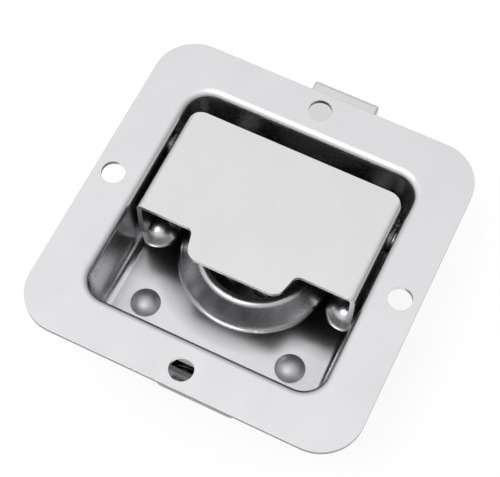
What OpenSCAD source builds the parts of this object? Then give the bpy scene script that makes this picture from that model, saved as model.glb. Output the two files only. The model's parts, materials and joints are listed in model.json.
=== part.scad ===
// Flush paddle latch for a cabinet panel.
// A pressed pan carries a rocking paddle, and a channel behind it carries a sprung latch bolt.
// The origin is at the centre of the screw holes, on the rear of the face plate.
// +Z points out of the panel and +Y points along the bolt to its nose.

/* [Sheet and clearances] */
// Sheet thickness of the pan and the paddle
sheet = 1.5; // [1.2:0.1:1.8]
// Sheet thickness of the channel and the guide plate
channel_sheet = 1.2; // [1:0.1:1.5]
// Gap beside parts that slide or swing
slide_gap = 0.3; // [0.2:0.05:0.4]
// Radial play of a pin, rod or rivet in its hole
pin_play = 0.05; // [0.02:0.01:0.08]
// Rounding of the ends of pins and rods
edge_r = 0.4; // [0.2:0.1:0.5]

/* [Face plate] */
// Width and height of the square face plate
plate_w = 100; // [96:1:110]
// Corner radius of the face plate
plate_corner_r = 12.5; // [8:0.5:16]
// Diameter of the screw holes
screw_hole_d = 7; // [5:0.5:7.5]
// Distance of the screw holes from the edges of the face plate
screw_inset = 5.75; // [5.5:0.05:6]

/* [Well] */
// Width of the well at the front face, without the rounding of its rim
well_w = 71.2; // [69:0.2:73]
// Depth from the front face to the floor of the well
well_depth = 22.5; // [21:0.5:25]
// Draft of the walls in degrees
well_draft = 3.2; // [2:0.2:4]
// Corner radius of the well at the front face
well_corner_r = 7; // [6:0.2:8]
// Radius of the rounded rim
well_rim_r = 2.5; // [2:0.1:3]
// Radius between the walls and the floor
well_base_r = 3; // [2.5:0.5:3.5]

/* [Collar] */
// Height of the collar's axis above the middle of the plate
collar_y = 3.6; // [2:0.2:4]
// Radius of the collar where its flank meets the floor
collar_base_r = 23; // [22:0.1:23.2]
// Height of the collar above the floor
collar_h = 6.5; // [5:0.5:7]
// Slope of the collar's flank in degrees
collar_slope = 52; // [48:1:58]
// Radius of the ridge at the top of the collar
collar_ridge_r = 2.2; // [2:0.1:2.4]
// Radius of the fillet at the foot of the collar
collar_foot_r = 2; // [1:0.1:2.2]
// Width of the collar's top between its flank and its opening
collar_lip = 2.1; // [1.8:0.1:2.6]

/* [Stop dimples] */
// Distance of each dimple from the middle
dimple_x = 30.4; // [30.2:0.1:31]
// Height of the dimples above the middle of the plate
dimple_y = -0.4; // [-2:0.2:1]
// Radius of a dimple at the floor
dimple_r = 6.2; // [5:0.1:6.4]
// Height of a dimple
dimple_h = 4; // [3:0.1:4.4]
// Slope of a dimple's flank in degrees
dimple_slope = 50; // [45:1:55]
// Radius of the fillet at the foot of a dimple
dimple_foot_r = 1.2; // [0.6:0.1:1.4]

/* [Paddle] */
// Gap between the paddle's sides and the front of the well
paddle_side_gap = 1.9; // [1.7:0.1:2.6]
// Gap between the paddle's upper edge and the front of the well
paddle_top_gap = 6.6; // [5.8:0.1:8]
// Height of the notch edges beside the tongue
notch_y = -6.2; // [-8:0.2:-5]
// Length of the tongue below the notch edges
tongue_l = 8.1; // [6:0.1:10]
// Width of the tongue at its root
tongue_root_w = 32; // [28:0.5:36]
// Width of the tongue at its end
tongue_end_w = 28; // [24:0.5:28]
// Corner radius of the tongue's end
tongue_corner_r = 3.6; // [2:0.2:4]
// Radius in the notch corners
notch_r = 2.2; // [1:0.2:3]
// Radius of the paddle's upper corners
paddle_corner_r = 4.8; // [3:0.2:6]
// Outside radius of the bends along the paddle's sides
paddle_bend_r = 2.2; // [2:0.1:2.6]
// Radius of the paddle's sides round the hinge pin
paddle_boss_r = 8; // [7:0.5:9]

/* [Hinge] */
// Distance of the hinge pin below the paddle's upper edge
pin_set = 10.8; // [10:0.1:11.4]
// Depth of the hinge pin's axis behind the front face
pin_depth = 6; // [5.9:0.1:7]
// Diameter of the hinge pin
pin_d = 5; // [4:0.2:5]
// Radius of the retaining rings
ring_r = 4.1; // [3.6:0.1:4.2]
// Thickness of the retaining rings
ring_t = 0.8; // [0.6:0.1:1]
// Share of a ring's inner width that its mouth leaves open
ring_mouth = 0.8; // [0.6:0.05:0.9]
// Depth of the rings' grooves in the pin
groove_depth = 0.6; // [0.4:0.05:0.8]

/* [Lever] */
// Sheet thickness of the lever
lever_sheet = 2.5; // [2:0.1:3]
// Width of the lever's blade
lever_w = 12; // [10:0.5:13]
// Gap between the blade and the hinge pin
lever_pin_gap = 1; // [0.6:0.1:1.4]
// Length of the lever's tab under the paddle
lever_tab_l = 12; // [9:0.5:13]
// Radius of the lever's ears round the hinge pin
lever_ear_r = 4.3; // [4:0.1:4.4]

/* [Latch bolt] */
// Width of the bolt
bolt_w = 22; // [20:0.5:24]
// Thickness of the bolt
bolt_h = 13.6; // [12.6:0.2:15]
// Reach of the bolt's nose past the face plate
bolt_reach = 18.5; // [17:0.5:20]
// Length of the bolt behind the pocket for the lever
bolt_heel = 9.25; // [9:0.25:11]
// Travel of the bolt
bolt_travel = 15; // [14:0.5:15.5]
// Thickness of the bolt's nose
nose_t = 3; // [2:0.2:4]
// Rounding of the bolt's nose
nose_r = 1.2; // [0.8:0.1:1.4]
// Radius of the nose's corners seen from the front
nose_corner_r = 1.6; // [1:0.1:2.4]
// Rounding of the bolt's long edges
bolt_edge_r = 1; // [0.6:0.1:1.4]
// Solid floor left under the pocket for the lever
pocket_floor = 2; // [1.6:0.1:2.4]
// Room beside and below the lever's blade in the pocket
pocket_room = 1; // [0.6:0.1:1.4]
// Lost motion between the lever and the pocket's rear wall
pocket_lead = 0.95; // [0.8:0.05:1.1]
// Depth of the spring bores in the bolt's rear end
spring_bore_l = 6; // [5:0.5:7]

/* [Channel] */
// Distance of the channel's rear end below the middle of the plate
channel_back = 39; // [38:0.5:41]
// Distance of the channel's front end above the middle of the plate
channel_front = 38; // [37:0.5:40]
// Outside radius of the channel's bends
channel_bend_r = 2; // [1.6:0.1:2.4]
// Half width over the channel's ears
ear_x = 28; // [27.6:0.1:29]
// Length of each ear along the channel
ear_l = 12; // [11:0.5:14]
// Corner radius of the ears and the guide plate
ear_corner_r = 3; // [2:0.2:4]
// Length of the window in the guide plate
window_l = 32; // [30:0.5:34]
// Width of the window in the guide plate
window_w = 18; // [16:0.5:18.5]
// Thickness of the end plate
end_plate_t = 1.5; // [1.2:0.1:2]
// Distance of the end plate from the channel's rear end
end_plate_set = 1; // [0.8:0.1:2]
// Height of the end plate's side tabs
end_tab_h = 6; // [4:0.5:8]

/* [Rivets and stop pin] */
// Sideways distance of the rivets from the middle
rivet_x = 23; // [22.6:0.1:23.2]
// Distance of the rivets above and below the middle
rivet_y = 23.6; // [23.4:0.1:24.2]
// Radius of the domed rivet heads
rivet_head_r = 4.4; // [3.6:0.1:4.5]
// Height of the domed rivet heads
rivet_head_h = 2.2; // [1.6:0.1:2.4]
// Radius of the rivet shanks
rivet_r = 2; // [1.6:0.1:2.2]
// Radius of the rivets' closed ends
rivet_tail_r = 3.2; // [2.6:0.1:3.4]
// Thickness of the rivets' closed ends
rivet_tail_t = 1.4; // [1:0.1:1.8]
// Diameter of the stop pin
stop_d = 4; // [3:0.2:4.4]
// Distance of the stop pin from the channel's front end
stop_set = 3; // [2.8:0.1:3.4]
// Height of the stop pin above the channel's floor
stop_h = 3; // [2.5:0.1:3.4]

/* [Springs] */
// Wire diameter of the bolt springs
bolt_wire_d = 0.7; // [0.6:0.1:0.9]
// Outside diameter of the bolt springs
bolt_spring_d = 7.6; // [7:0.1:8]
// Turns of each bolt spring
bolt_turns = 13; // [10:1:15]
// Sideways distance of the bolt springs from the middle
bolt_spring_x = 5.4; // [5.2:0.1:5.8]
// Diameter of the rods inside the bolt springs
rod_d = 3.5; // [3:0.1:4]
// Diameter of the rods' peened heads
rod_head_d = 5.2; // [4.6:0.1:5.6]
// Room past the rods' ends in the bores when the bolt is drawn back
rod_room = 1.6; // [1:0.1:3]
// Wire diameter of the paddle springs
paddle_wire_d = 1.1; // [0.8:0.1:1.2]
// Mean radius of the paddle springs' coils
paddle_coil_r = 3.6; // [3.5:0.05:3.6]
// Turns of each paddle spring
paddle_turns = 5; // [4:1:6]
// From the paddle's side to the inner end of each paddle spring
paddle_spring_set = 13.7; // [12.7:0.1:15.7]
// Length of the leg under the paddle
paddle_leg_l = 7; // [5:0.5:8]

/* [Hidden] */
$fn = 72;
eps = 0.1;
front = sheet;
floor_z = front - well_depth;
screw_circle_d = plate_w - 2 * screw_inset;
well_corner = well_w / 2 - well_corner_r;
rim_half = well_w / 2 + 2 * well_rim_r;
rim_rise = eps / 5;
collar_top = floor_z + collar_h;
collar_top_r = collar_base_r - collar_h / tan(collar_slope);
collar_opening_r = collar_top_r - collar_lip;
// The collar is made with a flat ring of floor round its foot, one sheet thickness wide
collar_skirt = collar_base_r + collar_foot_r * tan(collar_slope / 2) + sheet;
dimple_top = floor_z + dimple_h;
paddle_top = well_w / 2 - paddle_top_gap;
pin_y = paddle_top - pin_set;
pin_z = front - pin_depth;
pin_r = pin_d / 2;
paddle_half = well_w / 2 - paddle_side_gap;
paddle_spring_x = paddle_half - paddle_spring_set;
// The pin ends inside the pan's walls, and a ring sits between each wall and the paddle's side
pin_end = well_half(pin_z) + sheet - slide_gap;
ring_x = paddle_half + slide_gap + ring_t / 2;
tongue_end = notch_y - tongue_l;
side_z = dimple_top + slide_gap;
// Stack behind the floor: guide plate, ears, bolt, channel floor
guide_z = floor_z - sheet;
ear_z = guide_z - channel_sheet;
bolt_top = ear_z - slide_gap;
bolt_bottom = bolt_top - bolt_h;
channel_floor = bolt_bottom - slide_gap;
channel_z = channel_floor - channel_sheet;
channel_half = bolt_w / 2 + slide_gap + channel_sheet;
nose_y = plate_w / 2 + bolt_reach;
bolt_mid = (bolt_top + bolt_bottom) / 2;
// Rear and front face of the lever's blade
blade_rear = pin_y - pin_r - lever_pin_gap - lever_sheet;
blade_front = blade_rear + lever_sheet;
pocket_z = bolt_bottom + pocket_floor;
blade_tip = pocket_z + pocket_room;
pocket_rear = blade_rear - pocket_lead;
pocket_front = blade_front + bolt_travel + 2 * slide_gap;
bolt_rear = pocket_rear - bolt_heel;
end_plate_y = end_plate_set - channel_back;
spring_seat = end_plate_y + end_plate_t;
spring_bore_end = bolt_rear + spring_bore_l;
spring_bore_r = bolt_spring_d / 2 + slide_gap;
spring_l = spring_bore_end - spring_seat - 2 * slide_gap;
rod_end = spring_bore_end - bolt_travel - rod_room;
pocket_half = lever_w / 2 + pocket_room;
stop_y = channel_front - stop_set;
groove_half = stop_d / 2 + slide_gap;

// Half width of the well's inner face at a height
function well_half(z) = well_w / 2 - (front - z) * tan(well_draft);
function unit(v) = v / norm(v);
function flat(p) = [p[0], p[1]];

// Tangent points, centre and sense of the rounded corner i of an outline
function corner(p, i) =
    let (
        v = flat(p[i]),
        a = flat(p[(i + len(p) - 1) % len(p)]),
        b = flat(p[(i + 1) % len(p)]),
        r = p[i][2],
        u = unit(a - v),
        w = unit(b - v),
        half = acos(u * w) / 2,
        t = r / tan(half)
    )
    [v + u * t, v + w * t, v + unit(u + w) * r / sin(half), cross(v - a, b - v) > 0];

// Outline from counter-clockwise points [x, y, corner radius], with true arcs
module rounded(p) {
    corners = [for (i = [0 : len(p) - 1]) p[i][2] > 0 ? corner(p, i) : []];
    difference() {
        union() {
            polygon([
                for (i = [0 : len(p) - 1]) let (c = corners[i])
                    each c == [] ? [flat(p[i])] : c[3] ? [c[0], c[1]] : [c[0], c[2], c[1]]
            ]);
            for (i = [0 : len(p) - 1]) let (c = corners[i]) if (c != [] && c[3]) intersection() {
                chord = (c[0] + c[1]) / 2;
                polygon([chord + (c[2] - chord) * eps, c[0], flat(p[i]), c[1]]);
                translate(c[2]) circle(p[i][2]);
            }
        }
        for (i = [0 : len(p) - 1]) let (c = corners[i])
            if (c != [] && !c[3]) translate(c[2]) circle(p[i][2]);
    }
}

// Rectangle from x0, y0 to x1, y1 with rounded corners
module rounded_rect(x0, y0, x1, y1, r)
    rounded([[x0, y0, r], [x1, y0, r], [x1, y1, r], [x0, y1, r]]);

// Prism along Y from y0 to y1 of an outline in X and Z
module along_y(y0, y1) translate([0, y1, 0]) rotate([90, 0, 0]) linear_extrude(y1 - y0) children();

// Prism along X from x0 to x1 of an outline in Y and Z
module along_x(x0, x1) translate([x0, 0, 0]) rotate([90, 0, 90]) linear_extrude(x1 - x0) children();

// Slab along Z from z0 to z1 of an outline in X and Y
module along_z(z0, z1) translate([0, 0, z0]) linear_extrude(z1 - z0) children();

// Both sides of the latch: the child is drawn on the right and mirrored to the left
module both_sides() {
    children();
    mirror([1, 0, 0]) children();
}

// The child on one named side, drawn as for the right side
module on_side(side) mirror([side == "left" ? 1 : 0, 0, 0]) children();

// Hole for the hinge pin across the whole latch
module pin_hole() translate([-plate_w / 2, pin_y, pin_z]) rotate([0, 90, 0])
    cylinder(r = pin_r + pin_play, h = plate_w);

// Holes for the four rivets between two heights
module rivet_holes(z0, z1) for (x = [-rivet_x, rivet_x], y = [-rivet_y, rivet_y])
    translate([x, y, z0]) cylinder(r = rivet_r + pin_play, h = z1 - z0);

// Half section of the well, grown outwards by a skin, with X counted from from_x.
// Only the inside has a rounded rim, which starts a hair above the face so that it cuts the face cleanly.
// Behind the face plate the wall meets the plate in a sharp corner.
module well_section(skin, from_x) {
    wall = skin / cos(well_draft) - from_x;
    base = floor_z - skin;
    rim = skin > 0 ? front - skin : front + rim_rise;
    rounded([
        [0, base, 0],
        [well_half(base) + wall, base, well_base_r + skin],
        [well_half(rim) + wall, rim, skin > 0 ? 0 : well_rim_r],
        [rim_half - from_x, rim, 0],
        [rim_half - from_x, rim + sheet / 2, 0],
        [0, rim + sheet / 2, 0]
    ]);
}

// The straight stretches of the well, grown outwards by a skin
module well_sides(skin) for (turn = [0 : 90 : 270]) rotate(turn)
    along_y(-well_corner, well_corner) well_section(skin, 0);

// The four corners of the well, grown outwards by a skin
module well_corners(skin) for (turn = [0 : 90 : 270]) rotate(turn)
    translate([well_corner, well_corner, 0]) rotate_extrude(angle = 90) well_section(skin, well_corner);

// Raised collar of sheet round the lever's opening
module collar() {
    back = sheet * tan(collar_slope / 2);
    translate([0, collar_y, 0]) rotate_extrude() rounded([
        [collar_opening_r, collar_top - sheet, 0],
        [collar_top_r - back, collar_top - sheet, collar_ridge_r - sheet],
        [collar_base_r - back, floor_z - sheet, collar_foot_r + sheet],
        [collar_skirt, floor_z - sheet, 0],
        [collar_skirt, floor_z, 0],
        [collar_base_r, floor_z, collar_foot_r],
        [collar_top_r, collar_top, collar_ridge_r],
        [collar_opening_r, collar_top, 0]
    ]);
}

// Dome of a dimple, shrunk inwards by a skin
module dimple_dome(skin) {
    back = skin * tan(dimple_slope / 2);
    base_r = dimple_r - back;
    crown = (dimple_r - dimple_h / tan(dimple_slope)) / tan(dimple_slope / 2);
    top_r = base_r - dimple_h / tan(dimple_slope);
    translate([dimple_x, dimple_y, 0]) rotate_extrude() rounded([
        [0, floor_z - skin - eps, 0],
        [base_r + dimple_foot_r, floor_z - skin - eps, 0],
        [base_r + dimple_foot_r, floor_z - skin, 0],
        [base_r, floor_z - skin, dimple_foot_r],
        [top_r, dimple_top - skin, crown - skin - eps],
        [0, dimple_top - skin, 0]
    ]);
}

// Space on the right of the middle, out to x1
module right_of_middle(x1) translate([0, -plate_w / 2, floor_z - plate_w / 2]) cube([x1, plate_w, plate_w]);

// Pressed pan: face plate, well, collar and stop dimples in one sheet
module pan() color("gainsboro") difference() {
    union() {
        difference() {
            difference() {
                union() {
                    along_z(0, sheet)
                        rounded_rect(-plate_w / 2, -plate_w / 2, plate_w / 2, plate_w / 2, plate_corner_r);
                    well_sides(sheet);
                    well_corners(sheet);
                }
                well_sides(0);
            }
            well_corners(0);
            translate([0, collar_y, floor_z - 2 * sheet]) cylinder(r = collar_skirt - eps, h = 3 * sheet);
        }
        collar();
        both_sides() intersection() {
            dimple_dome(0);
            right_of_middle(well_half(floor_z) + sheet / 4);
        }
    }
    both_sides() intersection() {
        dimple_dome(sheet);
        right_of_middle(well_half(floor_z) - sheet);
    }
    for (turn = [0 : 90 : 270]) rotate(turn) translate([screw_circle_d / 2, 0, -sheet])
        cylinder(d = screw_hole_d, h = 3 * sheet);
    rivet_holes(floor_z - 2 * sheet, floor_z + sheet);
    pin_hole();
}

// Section of the paddle across its folded sides
module paddle_section() rounded([
    [paddle_half, side_z, 0],
    [paddle_half, front, paddle_bend_r],
    [-paddle_half, front, paddle_bend_r],
    [-paddle_half, side_z, 0],
    [sheet - paddle_half, side_z, 0],
    [sheet - paddle_half, front - sheet, paddle_bend_r - sheet],
    [paddle_half - sheet, front - sheet, paddle_bend_r - sheet],
    [paddle_half - sheet, side_z, 0]
]);

// Outline of the paddle seen from the front, with the tongue at its lower edge
module paddle_outline() rounded([
    [-tongue_end_w / 2, tongue_end, tongue_corner_r],
    [tongue_end_w / 2, tongue_end, tongue_corner_r],
    [tongue_root_w / 2, notch_y, notch_r],
    [paddle_half, notch_y, 0],
    [paddle_half, paddle_top, paddle_corner_r],
    [-paddle_half, paddle_top, paddle_corner_r],
    [-paddle_half, notch_y, 0],
    [-tongue_root_w / 2, notch_y, notch_r]
]);

// Outline of the paddle seen from the side: the flat top and the folded sides
module paddle_side() {
    bend_z = front - paddle_bend_r;
    side_end = min(pin_y + paddle_boss_r, paddle_top - paddle_corner_r);
    rounded_rect(tongue_end - sheet, bend_z, paddle_top + sheet, front + sheet, 0);
    rounded([
        [notch_y - eps, side_z - eps, paddle_bend_r],
        [pin_y - paddle_boss_r / 2, side_z - eps, paddle_boss_r],
        [side_end, pin_z - paddle_boss_r / 2, paddle_boss_r / 4],
        [side_end, front, 0],
        [notch_y - eps, front, 0]
    ]);
}

// Paddle bent from one sheet, flush with the face plate
module paddle() color("whitesmoke") difference() {
    intersection() {
        along_y(tongue_end - sheet, paddle_top + sheet) paddle_section();
        along_z(side_z - sheet, front + sheet) paddle_outline();
        along_x(-plate_w / 2, plate_w / 2) paddle_side();
    }
    pin_hole();
}

// Lever: a tab under the paddle, a blade down into the bolt and two ears on the hinge pin
module actuator_lever() color("darkgray") difference() {
    under = front - sheet;
    half = lever_w / 2;
    union() {
        along_x(-half, half) rounded([
            [blade_rear, blade_tip, lever_sheet / 2 - eps],
            [blade_front, blade_tip, lever_sheet / 2 - eps],
            [blade_front, under, lever_sheet],
            [blade_front - lever_tab_l, under, 0],
            [blade_front - lever_tab_l, under - lever_sheet, 0],
            [blade_rear, under - lever_sheet, lever_sheet / 2]
        ]);
        both_sides() along_x(half - lever_sheet, half) {
            translate([pin_y, pin_z]) circle(lever_ear_r);
            rounded([
                [blade_rear, pin_z - 2 * lever_ear_r, 0],
                [blade_front, pin_z - 2 * lever_ear_r, 0],
                [pin_y, pin_z - lever_ear_r, 0],
                [pin_y, pin_z + lever_ear_r, 0],
                [blade_rear, pin_z + lever_ear_r, 0]
            ]);
        }
    }
    pin_hole();
}

// Groove of a retaining ring in the hinge pin's outline, at a distance along the pin
function ring_groove(x) =
    let (inner_r = pin_r - groove_depth, half_t = ring_t / 2 + pin_play)
    [[pin_r, x - half_t, 0], [inner_r, x - half_t, 0], [inner_r, x + half_t, 0], [pin_r, x + half_t, 0]];

// Hinge pin along X, with a groove for a ring near each end
module hinge_pin() color("silver") translate([0, pin_y, pin_z]) rotate([0, 90, 0])
    rotate_extrude() rounded(concat(
        [[0, -pin_end, 0], [pin_r, -pin_end, edge_r]],
        ring_groove(-ring_x),
        ring_groove(ring_x),
        [[pin_r, pin_end, edge_r], [0, pin_end, 0]]
    ));

// Open retaining ring in the right groove of the hinge pin
module pin_ring() color("dimgray") translate([ring_x - ring_t / 2, pin_y, pin_z]) rotate([0, 90, 0])
    difference() {
        inner_r = pin_r - groove_depth + pin_play;
        open_half = inner_r * ring_mouth;
        cylinder(r = ring_r, h = ring_t);
        translate([0, 0, -ring_t]) cylinder(r = inner_r, h = 3 * ring_t);
        translate([0, -open_half, -ring_t]) cube([2 * ring_r, 2 * open_half, 3 * ring_t]);
    }
module pin_ring_left() on_side("left") pin_ring();
module pin_ring_right() on_side("right") pin_ring();

// Round wire along a path that winds round an axis
module wire(path, r, axis) {
    sides = 6;
    last = len(path) - 1;
    run = [for (i = [0 : last]) unit(path[min(i + 1, last)] - path[max(i - 1, 0)])];
    points = [
        for (i = [0 : last], k = [0 : sides - 1])
            let (out = unit(cross(axis, run[i])), up = cross(run[i], out))
            path[i] + r * (cos(360 * k / sides) * out + sin(360 * k / sides) * up)
    ];
    skin = [
        for (i = [0 : last - 1], k = [0 : sides - 1])
            let (a = i * sides + k, b = i * sides + (k + 1) % sides)
            each [[a, a + sides, b + sides], [a, b + sides, b]]
    ];
    polyhedron(points, concat(
        skin,
        [[for (k = [0 : sides - 1]) k]],
        [[for (k = [sides - 1 : -1 : 0]) last * sides + k]]
    ));
}

// Torsion spring on the right: a leg under the paddle, the coil, and a leg down to the floor
module paddle_spring() {
    steps = 14;
    pitch = paddle_wire_d + slide_gap;
    turns = paddle_turns + 0.25;
    coil = [
        for (i = [0 : turns * steps]) let (turn = i / steps, a = 90 + 360 * turn)
            [paddle_spring_x + pitch * turn, pin_y + paddle_coil_r * cos(a), pin_z + paddle_coil_r * sin(a)]
    ];
    start = [paddle_spring_x, pin_y + paddle_leg_l, pin_z + paddle_coil_r];
    foot = [
        paddle_spring_x + pitch * turns,
        pin_y - paddle_coil_r,
        floor_z + paddle_wire_d / 2 + slide_gap
    ];
    color("slategray") wire(concat([start], coil, [foot]), paddle_wire_d / 2, [1, 0, 0]);
}
module paddle_spring_left() on_side("left") paddle_spring();
module paddle_spring_right() on_side("right") paddle_spring();

// Guide plate that closes the channel, with a window for the lever
module guide_plate() color("lightgray") difference() {
    half_l = rivet_y + ear_l / 2;
    window_end = collar_y + collar_opening_r;
    along_z(ear_z, guide_z) difference() {
        rounded_rect(-ear_x, -half_l, ear_x, half_l, ear_corner_r);
        rounded_rect(-window_w / 2, window_end - window_l, window_w / 2, window_end, ear_corner_r);
    }
    rivet_holes(ear_z - sheet, guide_z + sheet);
}

// Section of the channel across the bolt
module channel_section() rounded([
    [-channel_half, channel_z, channel_bend_r],
    [channel_half, channel_z, channel_bend_r],
    [channel_half, ear_z, 0],
    [channel_half - channel_sheet, ear_z, 0],
    [channel_half - channel_sheet, channel_floor, channel_bend_r - channel_sheet],
    [channel_sheet - channel_half, channel_floor, channel_bend_r - channel_sheet],
    [channel_sheet - channel_half, ear_z, 0],
    [-channel_half, ear_z, 0]
]);

// Section of one ear, folded out from the top of the channel's wall
module ear_section() rounded([
    [channel_half - channel_sheet, ear_z - 2 * channel_bend_r, 0],
    [channel_half, ear_z - 2 * channel_bend_r, 0],
    [channel_half, ear_z - channel_sheet, channel_bend_r - channel_sheet],
    [ear_x, ear_z - channel_sheet, 0],
    [ear_x, ear_z, 0],
    [channel_half - channel_sheet, ear_z, 0]
]);

// Channel for the bolt, with four ears riveted to the pan
module bolt_housing() color("silver") difference() {
    union() {
        along_y(-channel_back, channel_front) channel_section();
        both_sides() for (y = [-rivet_y, rivet_y]) intersection() {
            along_y(y - ear_l / 2, y + ear_l / 2) ear_section();
            along_z(channel_z, guide_z)
                rounded_rect(-ear_x, y - ear_l / 2, ear_x, y + ear_l / 2, ear_corner_r);
        }
    }
    rivet_holes(ear_z - 2 * channel_sheet, guide_z);
    translate([0, stop_y, channel_z - channel_sheet])
        cylinder(r = stop_d / 2 + pin_play, h = 3 * channel_sheet);
    translate([-plate_w / 2, end_plate_y - pin_play, bolt_mid - end_tab_h / 2 - pin_play])
        cube([plate_w, end_plate_t + 2 * pin_play, end_tab_h + 2 * pin_play]);
}

// End plate across the channel, held by a tab in each wall
module end_plate() color("lightgray") difference() {
    half = channel_half - channel_sheet - pin_play;
    union() {
        along_y(end_plate_y, spring_seat)
            rounded_rect(-half, channel_floor + pin_play, half, ear_z - pin_play, channel_bend_r);
        translate([-channel_half, end_plate_y, bolt_mid - end_tab_h / 2])
            cube([2 * channel_half, end_plate_t, end_tab_h]);
    }
    for (x = [-bolt_spring_x, bolt_spring_x])
        translate([x, spring_seat + end_plate_t, bolt_mid]) rotate([90, 0, 0])
            cylinder(d = rod_d + 2 * pin_play, h = 3 * end_plate_t);
}

// Rod inside a bolt spring, peened behind the end plate
module spring_rod() color("silver") translate([bolt_spring_x, 0, bolt_mid]) rotate([-90, 0, 0])
    rotate_extrude() rounded([
        [0, end_plate_y - end_plate_set + pin_play, 0],
        [rod_head_d / 2, end_plate_y - end_plate_set + pin_play, edge_r],
        [rod_head_d / 2, end_plate_y, 0],
        [rod_d / 2, end_plate_y, 0],
        [rod_d / 2, rod_end, edge_r],
        [0, rod_end, 0]
    ]);
module spring_rod_left() on_side("left") spring_rod();
module spring_rod_right() on_side("right") spring_rod();

// Compression spring on the right, with a closed turn at each end
module bolt_spring() {
    steps = 14;
    coil_r = (bolt_spring_d - bolt_wire_d) / 2;
    run = spring_l - bolt_wire_d;
    pitch = (run - 2 * bolt_wire_d) / (bolt_turns - 2);
    path = [
        for (i = [0 : bolt_turns * steps]) let (
            turn = i / steps,
            rise = turn < 1 ? bolt_wire_d * turn
                : turn > bolt_turns - 1 ? run - bolt_wire_d * (bolt_turns - turn)
                : bolt_wire_d + pitch * (turn - 1)
        )
        [
            bolt_spring_x + coil_r * cos(360 * turn),
            spring_seat + slide_gap + bolt_wire_d / 2 + rise,
            bolt_mid + coil_r * sin(360 * turn)
        ]
    ];
    color("slategray") wire(path, bolt_wire_d / 2, [0, 1, 0]);
}
module bolt_spring_left() on_side("left") bolt_spring();
module bolt_spring_right() on_side("right") bolt_spring();

// Stop pin pressed into the channel's floor
module stop_pin() color("dimgray") translate([0, stop_y, 0]) rotate_extrude() rounded([
    [0, channel_z, 0],
    [stop_d / 2, channel_z, 0],
    [stop_d / 2, channel_floor + stop_h, edge_r],
    [0, channel_floor + stop_h, 0]
]);

// Outline of the bolt seen from the side, with the slam bevel behind its nose
module bolt_side() rounded([
    [bolt_rear, bolt_bottom, 0],
    [nose_y - (bolt_h - nose_t), bolt_bottom, bolt_h / 2],
    [nose_y, bolt_top - nose_t, nose_r],
    [nose_y, bolt_top, nose_r],
    [bolt_rear, bolt_top, 0]
]);

// Latch bolt, with a pocket for the lever, two spring bores and a groove for the stop pin
module latch_bolt() color("silver") difference() {
    intersection() {
        along_y(bolt_rear - eps, nose_y + eps)
            rounded_rect(-bolt_w / 2, bolt_bottom, bolt_w / 2, bolt_top, bolt_edge_r);
        along_x(-bolt_w / 2 - eps, bolt_w / 2 + eps) bolt_side();
        along_z(bolt_bottom - eps, bolt_top + eps) rounded([
            [-bolt_w / 2, bolt_rear, 0],
            [bolt_w / 2, bolt_rear, 0],
            [bolt_w / 2, nose_y, nose_corner_r],
            [-bolt_w / 2, nose_y, nose_corner_r]
        ]);
    }
    along_z(pocket_z, bolt_top + eps)
        rounded_rect(-pocket_half, pocket_rear, pocket_half, pocket_front, nose_r);
    for (x = [-bolt_spring_x, bolt_spring_x]) translate([x, spring_bore_end, bolt_mid]) rotate([90, 0, 0])
        cylinder(r = spring_bore_r, h = 2 * spring_bore_l);
    along_z(bolt_bottom - eps, channel_floor + stop_h + slide_gap)
        rounded_rect(
            -groove_half, stop_y - groove_half,
            groove_half, stop_y + bolt_travel + 2 * groove_half, groove_half - eps
        );
}

// Domed rivet through the pan, the guide plate and an ear
module rivet(x, y) color("gainsboro") translate([x, y, 0]) rotate_extrude() {
    dome_r = (rivet_head_r ^ 2 + rivet_head_h ^ 2) / (2 * rivet_head_h);
    tail_z = ear_z - channel_sheet;
    intersection() {
        translate([0, floor_z + rivet_head_h - dome_r]) circle(dome_r);
        translate([0, floor_z]) square([rivet_head_r, rivet_head_h]);
    }
    rounded([
        [0, tail_z - rivet_tail_t, 0],
        [rivet_tail_r, tail_z - rivet_tail_t, rivet_tail_t / 2],
        [rivet_tail_r, tail_z, 0],
        [rivet_r, tail_z, 0],
        [rivet_r, floor_z + eps, 0],
        [0, floor_z + eps, 0]
    ]);
}
module rivet_lower_left() rivet(-rivet_x, -rivet_y);
module rivet_lower_right() rivet(rivet_x, -rivet_y);
module rivet_upper_left() rivet(-rivet_x, rivet_y);
module rivet_upper_right() rivet(rivet_x, rivet_y);

pan();
paddle();
actuator_lever();
hinge_pin();
pin_ring_left();
pin_ring_right();
paddle_spring_left();
paddle_spring_right();
guide_plate();
bolt_housing();
end_plate();
spring_rod_left();
spring_rod_right();
bolt_spring_left();
bolt_spring_right();
stop_pin();
latch_bolt();
rivet_lower_left();
rivet_lower_right();
rivet_upper_left();
rivet_upper_right();
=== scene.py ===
"""Studio scene of a flush paddle latch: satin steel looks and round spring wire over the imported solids.

Places on the latch are in millimetres, and are turned into metres where Blender takes them.
"""

import json
import math

import bmesh
import bpy
from mathutils import Matrix, Vector


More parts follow.
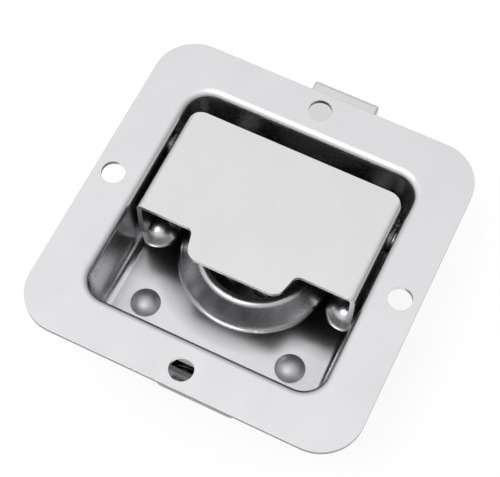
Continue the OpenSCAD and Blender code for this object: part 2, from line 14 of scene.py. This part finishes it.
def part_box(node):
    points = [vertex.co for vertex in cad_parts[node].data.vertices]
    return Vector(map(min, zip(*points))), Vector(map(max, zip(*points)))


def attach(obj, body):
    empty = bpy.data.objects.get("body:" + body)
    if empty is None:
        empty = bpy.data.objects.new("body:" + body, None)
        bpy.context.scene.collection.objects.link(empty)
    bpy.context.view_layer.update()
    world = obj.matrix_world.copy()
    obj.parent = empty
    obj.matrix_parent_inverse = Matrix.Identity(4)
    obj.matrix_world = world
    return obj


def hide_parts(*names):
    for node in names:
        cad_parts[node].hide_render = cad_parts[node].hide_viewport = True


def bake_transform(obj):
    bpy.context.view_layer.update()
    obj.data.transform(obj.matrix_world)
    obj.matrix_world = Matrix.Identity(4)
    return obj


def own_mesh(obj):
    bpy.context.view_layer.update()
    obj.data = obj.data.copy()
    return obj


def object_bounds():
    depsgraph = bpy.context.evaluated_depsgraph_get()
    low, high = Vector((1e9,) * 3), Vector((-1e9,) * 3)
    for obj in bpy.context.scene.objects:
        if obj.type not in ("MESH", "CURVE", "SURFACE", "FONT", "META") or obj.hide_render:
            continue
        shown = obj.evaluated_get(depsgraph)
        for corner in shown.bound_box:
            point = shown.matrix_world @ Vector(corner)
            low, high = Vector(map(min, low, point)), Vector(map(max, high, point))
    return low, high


MM = 0.001
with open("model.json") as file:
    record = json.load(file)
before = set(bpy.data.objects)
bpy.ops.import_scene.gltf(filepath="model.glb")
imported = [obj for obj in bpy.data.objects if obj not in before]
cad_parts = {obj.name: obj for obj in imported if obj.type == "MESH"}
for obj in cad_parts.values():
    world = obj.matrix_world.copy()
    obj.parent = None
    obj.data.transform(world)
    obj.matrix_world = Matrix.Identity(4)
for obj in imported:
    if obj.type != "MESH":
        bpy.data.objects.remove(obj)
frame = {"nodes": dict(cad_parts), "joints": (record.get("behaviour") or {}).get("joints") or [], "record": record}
cad_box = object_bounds()
nodes = frame["nodes"]
scene = bpy.context.scene
scene.view_settings.view_transform = "Standard"


# Places read from the solids and the joints
def box_mm(node):
    """Lowest and highest corner of a solid."""
    return [Vector(corner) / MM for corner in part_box(node)]


def middle(node):
    low, high = box_mm(node)
    return (low + high) / 2


joints = {joint["name"]: joint for joint in frame["joints"]}
PAN_LOW, PAN_HIGH = box_mm("pan")
PLATE_HALF = PAN_HIGH.x
SHEET = PAN_HIGH.z
FLOOR_Z = PAN_LOW.z + SHEET
PADDLE_HALF = box_mm("paddle")[1].x
PIN_Y, PIN_Z = (Vector(joints["paddle_pivot"]["pos_m"]) / MM).yz
SPRING_SEAT = box_mm("end_plate")[1].y
SPRING_X = middle("bolt_spring_right").x
BOLT_MID = middle("bolt_spring_right").z

# Places repeated from the source, which the frame doesn't give
COLLAR_Y = 3.6
COLLAR_FOOT = 23.0
SPRING_BORE_END = 8.0
PLAY = 0.3

# Camera, solved from the photograph, with its nearest and farthest reach in metres
CAMERA_RIGHT = Vector((0.89954, 0.43670, 0.00871))
CAMERA_DOWN = Vector((0.39753, -0.81030, -0.43058))
CAMERA_FORWARD = Vector((-0.18098, 0.39080, -0.90251))
CAMERA_PLACE = Vector((69.93, -153.51, 352.14))
CAMERA_LENS = 100.868
CAMERA_SENSOR = 36.0
CAMERA_NEAR = 0.01
CAMERA_FAR = 20.0


def make_camera():
    data = bpy.data.cameras.new("photo_camera")
    data.sensor_fit = "HORIZONTAL"
    data.sensor_width = CAMERA_SENSOR
    data.lens = CAMERA_LENS
    data.clip_start = CAMERA_NEAR
    data.clip_end = CAMERA_FAR
    camera = bpy.data.objects.new("photo_camera", data)
    scene.collection.objects.link(camera)
    pose = Matrix((CAMERA_RIGHT, -CAMERA_DOWN, -CAMERA_FORWARD)).transposed().to_4x4()
    pose.translation = CAMERA_PLACE * MM
    camera.matrix_world = pose
    scene.camera = camera


# Node helpers
SHELTER_REACH = 30.0
SHELTER_SPAN = (0.1, 0.52)
SHELTER_SAMPLES = 8
NEUTRAL = (1.0, 1.0, 1.0)


class Nodes:
    """A node tree with short calls for adding and linking nodes."""

    def __init__(self, tree):
        self.tree = tree
        tree.nodes.clear()

    def add(self, kind, **settings):
        node = self.tree.nodes.new(kind)
        for key, value in settings.items():
            setattr(node, key, value)
        return node

    def link(self, output, target):
        self.tree.links.new(output, target)

    def put(self, value, socket):
        """Links an output, or sets a plain value."""
        if isinstance(value, bpy.types.NodeSocket):
            self.link(value, socket)
        else:
            socket.default_value = value

    def math(self, operation, *values):
        node = self.add("ShaderNodeMath", operation=operation)
        for socket, value in zip(node.inputs, values):
            self.put(value, socket)
        return node.outputs[0]

    def remap(self, value, span, to_span):
        node = self.add("ShaderNodeMapRange")
        names = ("Value", "From Min", "From Max", "To Min", "To Max")
        for name, number in zip(names, (value, *span, *to_span)):
            self.put(number, node.inputs[name])
        return node.outputs["Result"]

    def noise(self, coords, scale, detail=2.0, rough=0.5):
        """Noise whose scale, in cells per metre, can differ along X, Y and Z."""
        mapping = self.add("ShaderNodeMapping")
        mapping.inputs["Scale"].default_value = scale
        self.link(coords, mapping.inputs["Vector"])
        node = self.add("ShaderNodeTexNoise")
        node.inputs["Scale"].default_value = 1.0
        node.inputs["Detail"].default_value = detail
        node.inputs["Roughness"].default_value = rough
        self.link(mapping.outputs["Vector"], node.inputs["Vector"])
        return node.outputs["Fac"]

    def shaded(self, tone, color):
        """A colour darkened by a tone from 0 to 1."""
        node = self.add("ShaderNodeMix", data_type="RGBA")
        # The Mix node has several sockets of each name, so its colour sockets go by number
        sockets = (node.inputs[0], node.inputs[6], node.inputs[7])
        for socket, value in zip(sockets, (tone, grey(0.0), color)):
            self.put(value, socket)
        return node.outputs[2]

    def parts(self, vector):
        """The X, Y and Z of a vector."""
        node = self.add("ShaderNodeSeparateXYZ")
        self.link(vector, node.inputs[0])
        return node.outputs

    def place_mm(self, coords):
        """The X, Y and Z of a point on the solid, in millimetres."""
        node = self.add("ShaderNodeVectorMath", operation="SCALE")
        self.link(coords.outputs["Object"], node.inputs[0])
        node.inputs["Scale"].default_value = 1 / MM
        return self.parts(node.outputs["Vector"])

    def facing(self, coords):
        """The X, Y and Z of the direction in which the surface faces."""
        return self.parts(coords.outputs["Normal"])

    def rises(self, value, span):
        """0 below the span, 1 above it."""
        return self.remap(value, span, (0.0, 1.0))

    def falls(self, value, span):
        """1 below the span, 0 above it."""
        return self.remap(value, span, (1.0, 0.0))

    def both(self, a, b):
        return self.math("MULTIPLY", a, b)

    def either(self, a, b):
        return self.math("MAXIMUM", a, b)

    def size(self, value):
        return self.math("ABSOLUTE", value)

    def sheltered(self):
        """1 in places that the parts round them close in, 0 in the open."""
        node = self.add("ShaderNodeAmbientOcclusion", samples=SHELTER_SAMPLES)
        node.inputs["Distance"].default_value = SHELTER_REACH * MM
        return self.falls(node.outputs["AO"], SHELTER_SPAN)

    def finish(self, kind, shader):
        out = self.add(kind)
        self.link(shader.outputs[0], out.inputs["Surface"])


def grey(value, tint=NEUTRAL):
    return (value * tint[0], value * tint[1], value * tint[2], 1.0)


# Finish of each zone: the share of the shade that it keeps, and its added roughness
REAR_FACE = (0.6, 0.16)
PLATE_CUT = (0.45, 0.2)
FLOOR_SHINE = (1.0, -0.07)
PADDLE_CUT = (0.6, 0.15)

# The same for shade painted where the light alone leaves the steel brighter than in the photograph
COLLAR_SHADE = (0.8, 0.0)
COLLAR_FOOT_SHADE = (0.55, 0.0)
COVERED_SHADE = (0.4, 0.0)
WELL_HOLLOW_SHADE = (0.34, 0.0)
UNDERSIDE_SHADE = (0.25, 0.05)
MILL_HOLLOW_SHADE = (0.3, 0.1)
OVERHUNG_SHADE = (0.3, 0.0)

# Limits of the zones, each fading between two places
OUTSIDE_WELL = (35.7, 35.9)
BEHIND_PLATE = (-0.3, -0.1)
PLATE_EDGE = (PLATE_HALF - 6.0, PLATE_HALF - 5.0)
NEAR_FLOOR = (FLOOR_Z + SHEET, FLOOR_Z + SHEET + 1.0)
ROUND_COLLAR = (COLLAR_FOOT, COLLAR_FOOT + 8.0)
DEEP_IN_WELL = (-14.0, -12.0)
UNDER_PADDLE = (-18.0, -8.0)
PADDLE_SIDES = (PADDLE_HALF - 2.0, PADDLE_HALF - 1.8)
CHANNEL_END = (SPRING_SEAT - 0.5, SPRING_SEAT)
CLOSE_TO_PLATE = (-36.0, -30.0)

# Limits of the zones by one part, X, Y or Z, of the direction that the surface faces
FACES_BACK = (-0.6, -0.3)
FACES_OUT = (0.7, 0.95)
STEEP = (0.45, 0.85)
PADDLE_UNDER = (-0.5, -0.2)
PADDLE_FRONT = (-0.8, -0.5)
UPRIGHT = (0.5, 0.8)
# The X of that direction times the place along X, below zero where a side faces the middle
TO_MIDDLE = (-20.0, -5.0)


# Zones of a material: each gives where it is, from 0 to 1, and its finish or its painted shade
def pan_zones(n, coords):
    x, y, z = n.place_mm(coords)
    up = n.facing(coords)[2]
    reach = n.either(n.size(x), n.size(y))

    behind = n.both(n.rises(reach, OUTSIDE_WELL), n.falls(z, BEHIND_PLATE))
    rear = n.either(behind, n.falls(up, FACES_BACK))
    cut = n.both(n.falls(n.size(up), STEEP), n.rises(reach, PLATE_EDGE))

    ahead = n.math("SUBTRACT", y, COLLAR_Y)
    off_axis = n.math("SQRT", n.math("ADD", n.both(x, x), n.both(ahead, ahead)))
    floor = n.both(n.falls(z, NEAR_FLOOR), n.rises(up, FACES_OUT))
    collar = n.both(n.falls(off_axis, ROUND_COLLAR), n.falls(z, DEEP_IN_WELL))
    covered = n.both(n.rises(y, UNDER_PADDLE), floor)
    return [
        (rear, REAR_FACE),
        (cut, PLATE_CUT),
        (floor, FLOOR_SHINE),
        # Painted shade from here on: round the collar, at the collar's foot, on the floor under the paddle and in
        # hollows of the well
        (collar, COLLAR_SHADE),
        (n.both(collar, floor), COLLAR_FOOT_SHADE),
        (covered, COVERED_SHADE),
        (n.sheltered(), WELL_HOLLOW_SHADE),
    ]


def paddle_zones(n, coords):
    x = n.place_mm(coords)[0]
    right, ahead, up = n.facing(coords)
    under = n.falls(up, PADDLE_UNDER)
    on_side = n.rises(n.size(x), PADDLE_SIDES)
    inward = n.both(n.falls(n.both(x, right), TO_MIDDLE), on_side)
    cut = n.falls(ahead, PADDLE_FRONT)
    # Painted shade on the paddle's underside and on the inner faces of its sides; the front cut edge is a duller
    # finish
    return [(n.either(under, inward), UNDERSIDE_SHADE), (cut, PADDLE_CUT)]


def mill_zones(n, coords):
    y, z = n.place_mm(coords)[1:]
    upright = n.falls(n.facing(coords)[2], UPRIGHT)
    end = n.both(n.falls(y, CHANNEL_END), upright)
    overhung = n.both(end, n.rises(z, CLOSE_TO_PLATE))
    # Painted shade in hollows of the channel, which are rougher there too, and a painted shadow on the channel's
    # end where the plate hangs over it
    return [(n.sheltered(), MILL_HOLLOW_SHADE), (overhung, OVERHUNG_SHADE)]


# Steel: rolled or drawn grain, smears of handling and softly broken edges, with noise in cells per metre
SMEARS = (70, 45, 60)
SPECKS = (900, 900, 900)
ALONG_X = (80, 4200, 4200)
ALONG_Y = (4200, 80, 4200)
EVEN = (3000, 3000, 3000)
NOISE_SPAN = (0.3, 0.7)
SPECK_SPAN = (0.62, 0.75)
SMEAR_TONE = (0.975, 1.02)
SMEAR_GLOSS = 0.025
GRAIN_GLOSS = 0.012
SPECK_GLOSS = 0.015
GRAIN_RELIEF = 0.02
EDGE = 0.12
EDGE_SAMPLES = 4
FAINT_BLUE = (0.986, 0.988, 1.01)
COOL = (0.985, 0.99, 1.02)


def steel(name, shade, rough, grain, tint=NEUTRAL, depth=0.003, zones=None):
    material = bpy.data.materials.new(name)
    material.use_nodes = True
    n = Nodes(material.node_tree)
    coords = n.add("ShaderNodeTexCoord")
    place = coords.outputs["Object"]
    lines = n.noise(place, grain, detail=3.0, rough=0.6)
    smears = n.noise(place, SMEARS, detail=3.0)
    specks = n.noise(place, SPECKS)
    shader = n.add("ShaderNodeBsdfPrincipled")
    shader.inputs["Metallic"].default_value = 1.0

    tone = n.remap(smears, NOISE_SPAN, [shade * share for share in SMEAR_TONE])
    gloss = n.remap(smears, NOISE_SPAN, (rough - SMEAR_GLOSS, rough + SMEAR_GLOSS))
    gloss = n.math("ADD", gloss, n.remap(lines, NOISE_SPAN, (-GRAIN_GLOSS, GRAIN_GLOSS)))
    gloss = n.math("ADD", gloss, n.remap(specks, SPECK_SPAN, (0.0, SPECK_GLOSS)))
    # Zones darken the tone and add roughness: some are finishes of the steel, the others are painted shade
    areas = zones(n, coords) if zones else []
    for where, (keep, rougher) in areas:
        tone = n.both(tone, n.remap(where, (0.0, 1.0), (1.0, keep)))
        gloss = n.math("ADD", gloss, n.both(where, rougher))
    n.link(n.shaded(tone, grey(1.0, tint)), shader.inputs["Base Color"])
    n.link(gloss, shader.inputs["Roughness"])

    edge = n.add("ShaderNodeBevel", samples=EDGE_SAMPLES)
    edge.inputs["Radius"].default_value = EDGE * MM
    bump = n.add("ShaderNodeBump")
    bump.inputs["Strength"].default_value = depth
    bump.inputs["Distance"].default_value = GRAIN_RELIEF * MM
    n.link(lines, bump.inputs["Height"])
    n.link(edge.outputs["Normal"], bump.inputs["Normal"])
    n.link(bump.outputs["Normal"], shader.inputs["Normal"])
    n.finish("ShaderNodeOutputMaterial", shader)
    return material


def make_materials():
    return {
        "pan_steel": steel(
            "satin_sheet", shade=0.75, rough=0.28, grain=ALONG_X, tint=FAINT_BLUE, zones=pan_zones
        ),
        "paddle_steel": steel("paddle_sheet", shade=0.735, rough=0.28, grain=ALONG_X, zones=paddle_zones),
        "inner_steel": steel(
            "mill_sheet", shade=0.44, rough=0.4, grain=ALONG_Y, tint=COOL, depth=0.006, zones=mill_zones
        ),
        "pin_steel": steel("turned_pin", shade=0.42, rough=0.36, grain=ALONG_Y, depth=0.012),
        "spring_steel": steel("spring_wire", shade=0.38, rough=0.34, grain=EVEN, tint=COOL),
        "bolt_steel": steel("bolt_satin", shade=0.70, rough=0.32, grain=ALONG_X, depth=0.012),
        "rivet_steel": steel("rivet_bright", shade=0.56, rough=0.52, grain=EVEN, tint=COOL),
    }


def dress_nodes(materials):
    """Each solid takes its slot's steel, but for the blackened retaining rings."""
    blackened = steel("blackened_ring", shade=0.10, rough=0.45, grain=EVEN, tint=COOL)
    for part in frame["record"]["subparts"]:
        node = nodes[part["node"]]
        node.data.materials.clear()
        ring = part["node"].startswith("pin_ring")
        node.data.materials.append(blackened if ring else materials[part["material_slot"]])


# Springs of round wire. Rings of a domed end are how far out each lies and its radius, in wire radii
WIRE_SIDES = 14
TURN_STEPS = 28
DOME = [(0.5, 0.86), (0.86, 0.5)]
PADDLE_LEG_STEPS = 6
PADDLE_FOOT_STEPS = 8

# Sizes of the springs, repeated from the source
BOLT_WIRE = 0.7
BOLT_COIL_R = 3.45
BOLT_TURNS = 13
PADDLE_WIRE = 1.1
PADDLE_COIL_R = 3.6
PADDLE_TURNS = 5.25
PADDLE_SPRING_SET = 13.7
PADDLE_LEG = 7.0


def wire_piece(name, path, wire, material):
    """Round wire of that diameter along a path, with domed ends."""
    points = [Vector(point) * MM for point in path]
    radius = wire / 2 * MM
    last = len(points) - 1
    stations = [(0, -out, share) for out, share in reversed(DOME)]
    stations += [(i, 0.0, 1.0) for i in range(last + 1)]
    stations += [(last, out, share) for out, share in DOME]
    angles = [2 * math.pi * k / WIRE_SIDES for k in range(WIRE_SIDES)]
    mesh = bmesh.new()
    rings = []
    normal = (points[1] - points[0]).orthogonal()
    for i, out, share in stations:
        run = (points[min(i + 1, last)] - points[max(i - 1, 0)]).normalized()
        normal = (normal - run * normal.dot(run)).normalized()
        side = run.cross(normal)
        centre = points[i] + run * radius * out
        spokes = [normal * math.cos(angle) + side * math.sin(angle) for angle in angles]
        rings.append([mesh.verts.new(centre + spoke * radius * share) for spoke in spokes])
    for a, b in zip(rings, rings[1:]):
        for k in range(WIRE_SIDES):
            j = (k + 1) % WIRE_SIDES
            mesh.faces.new((a[k], a[j], b[j], b[k]))
    mesh.faces.new(list(reversed(rings[0])))
    mesh.faces.new(rings[-1])
    bmesh.ops.recalc_face_normals(mesh, faces=mesh.faces)
    for face in mesh.faces:
        face.smooth = True
    data = bpy.data.meshes.new(name)
    mesh.to_mesh(data)
    mesh.free()
    piece = bpy.data.objects.new(name, data)
    scene.collection.objects.link(piece)
    data.materials.append(material)
    return piece


def bolt_spring_path(side):
    """An open coil whose first and last turns are closed, and its length."""
    length = SPRING_BORE_END - SPRING_SEAT - 2 * PLAY
    run = length - BOLT_WIRE
    pitch = (run - 2 * BOLT_WIRE) / (BOLT_TURNS - 2)
    path = []
    for i in range(BOLT_TURNS * TURN_STEPS + 1):
        turn = i / TURN_STEPS
        rise = BOLT_WIRE * turn
        if turn > BOLT_TURNS - 1:
            rise = run - BOLT_WIRE * (BOLT_TURNS - turn)
        elif turn >= 1:
            rise = BOLT_WIRE + pitch * (turn - 1)
        angle = 2 * math.pi * turn
        x = SPRING_X + BOLT_COIL_R * math.cos(angle)
        y = SPRING_SEAT + PLAY + BOLT_WIRE / 2 + rise
        path.append((side * x, y, BOLT_MID + BOLT_COIL_R * math.sin(angle)))
    return path, length


def paddle_spring_path(side):
    """A leg under the paddle, the coil round the pin and a leg to the floor.

    Gives the path, and how far from the middle the coil begins and ends.
    """
    first = PADDLE_HALF - PADDLE_SPRING_SET
    pitch = PADDLE_WIRE + PLAY
    path = []
    for i in range(PADDLE_LEG_STEPS):
        path.append((side * first, PIN_Y + PADDLE_LEG * (1 - i / PADDLE_LEG_STEPS), PIN_Z + PADDLE_COIL_R))
    for i in range(int(PADDLE_TURNS * TURN_STEPS) + 1):
        turn = i / TURN_STEPS
        angle = math.pi / 2 + 2 * math.pi * turn
        y = PIN_Y + PADDLE_COIL_R * math.cos(angle)
        path.append((side * (first + pitch * turn), y, PIN_Z + PADDLE_COIL_R * math.sin(angle)))
    last = first + pitch * PADDLE_TURNS
    drop = FLOOR_Z + PADDLE_WIRE / 2 + PLAY - PIN_Z
    for i in range(1, PADDLE_FOOT_STEPS + 1):
        path.append((side * last, PIN_Y - PADDLE_COIL_R, PIN_Z + drop * i / PADDLE_FOOT_STEPS))
    return path, first, last


def make_springs(material):
    for word, side in (("left", -1), ("right", 1)):
        path, length = bolt_spring_path(side)
        piece = wire_piece(f"bolt_spring_wire_{word}", path, BOLT_WIRE, material)
        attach(piece, "frame")
        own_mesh(piece)
        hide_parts(f"bolt_spring_{word}")
        path, inner, outer = paddle_spring_path(side)
        piece = wire_piece(f"paddle_spring_wire_{word}", path, PADDLE_WIRE, material)
        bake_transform(piece)
        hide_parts(f"paddle_spring_{word}")


# Studio: white ground, pale surroundings and one soft key light, with lights and ground placed in metres
GROUND_HALF = 3.0
GROUND_GAP = 0.1
PAPER = 0.9
GROUND_SHADOW = 0.18
GROUND_GLOW = 0.85
SKY_TOP = (-0.25, -0.1, 0.96)
SKY_SPAN = (0.0, 0.85)
SKY_STRENGTH = (0.38, 1.02)
KEY_PLACE = Vector((-0.2, -0.4, 1.05))
KEY_SIZE = 0.4
KEY_POWER = 2.8


def ground_material():
    """Near white and faintly shadowed where it is seen or mirrored, plain paper where it sends light back."""
    material = bpy.data.materials.new("studio_floor")
    material.use_nodes = True
    n = Nodes(material.node_tree)
    path = n.add("ShaderNodeLightPath")
    seen = n.either(path.outputs["Is Camera Ray"], path.outputs["Is Glossy Ray"])
    seen = n.either(seen, path.outputs["Is Transmission Ray"])
    paper = n.add("ShaderNodeBsdfDiffuse")
    paper.inputs["Color"].default_value = grey(PAPER)
    shadow = n.add("ShaderNodeBsdfDiffuse")
    shadow.inputs["Color"].default_value = grey(GROUND_SHADOW)
    glow = n.add("ShaderNodeEmission")
    glow.inputs["Strength"].default_value = GROUND_GLOW
    lit = n.add("ShaderNodeAddShader")
    n.link(shadow.outputs[0], lit.inputs[0])
    n.link(glow.outputs[0], lit.inputs[1])
    mix = n.add("ShaderNodeMixShader")
    n.link(seen, mix.inputs[0])
    n.link(paper.outputs[0], mix.inputs[1])
    n.link(lit.outputs[0], mix.inputs[2])
    n.finish("ShaderNodeOutputMaterial", mix)
    return material


def make_floor():
    corners = [(x * GROUND_HALF, y * GROUND_HALF, 0) for x, y in ((-1, -1), (1, -1), (1, 1), (-1, 1))]
    data = bpy.data.meshes.new("studio_floor")
    data.from_pydata(corners, [], [(0, 1, 2, 3)])
    data.materials.append(ground_material())
    floor = bpy.data.objects.new("studio_floor", data)
    floor.location.z = cad_box[0][2] - GROUND_GAP * MM
    scene.collection.objects.link(floor)


def make_world():
    """Bright overhead and softer towards the horizon, as under one wide ceiling light."""
    world = bpy.data.worlds.new("studio")
    scene.world = world
    world.use_nodes = True
    n = Nodes(world.node_tree)
    height = n.add("ShaderNodeVectorMath", operation="DOT_PRODUCT")
    n.link(n.add("ShaderNodeTexCoord").outputs["Generated"], height.inputs[0])
    height.inputs[1].default_value = SKY_TOP
    back = n.add("ShaderNodeBackground")
    back.inputs["Color"].default_value = grey(1.0)
    n.link(n.remap(height.outputs["Value"], SKY_SPAN, SKY_STRENGTH), back.inputs["Strength"])
    n.finish("ShaderNodeOutputWorld", back)


def make_key_light():
    data = bpy.data.lights.new("key", "AREA")
    data.shape = "SQUARE"
    data.size = KEY_SIZE
    data.energy = KEY_POWER
    lamp = bpy.data.objects.new("key", data)
    lamp.location = KEY_PLACE
    lamp.rotation_euler = (-KEY_PLACE).to_track_quat("-Z", "Y").to_euler()
    scene.collection.objects.link(lamp)


make_camera()
materials = make_materials()
dress_nodes(materials)
make_springs(materials["spring_steel"])
make_floor()
make_world()
make_key_light()
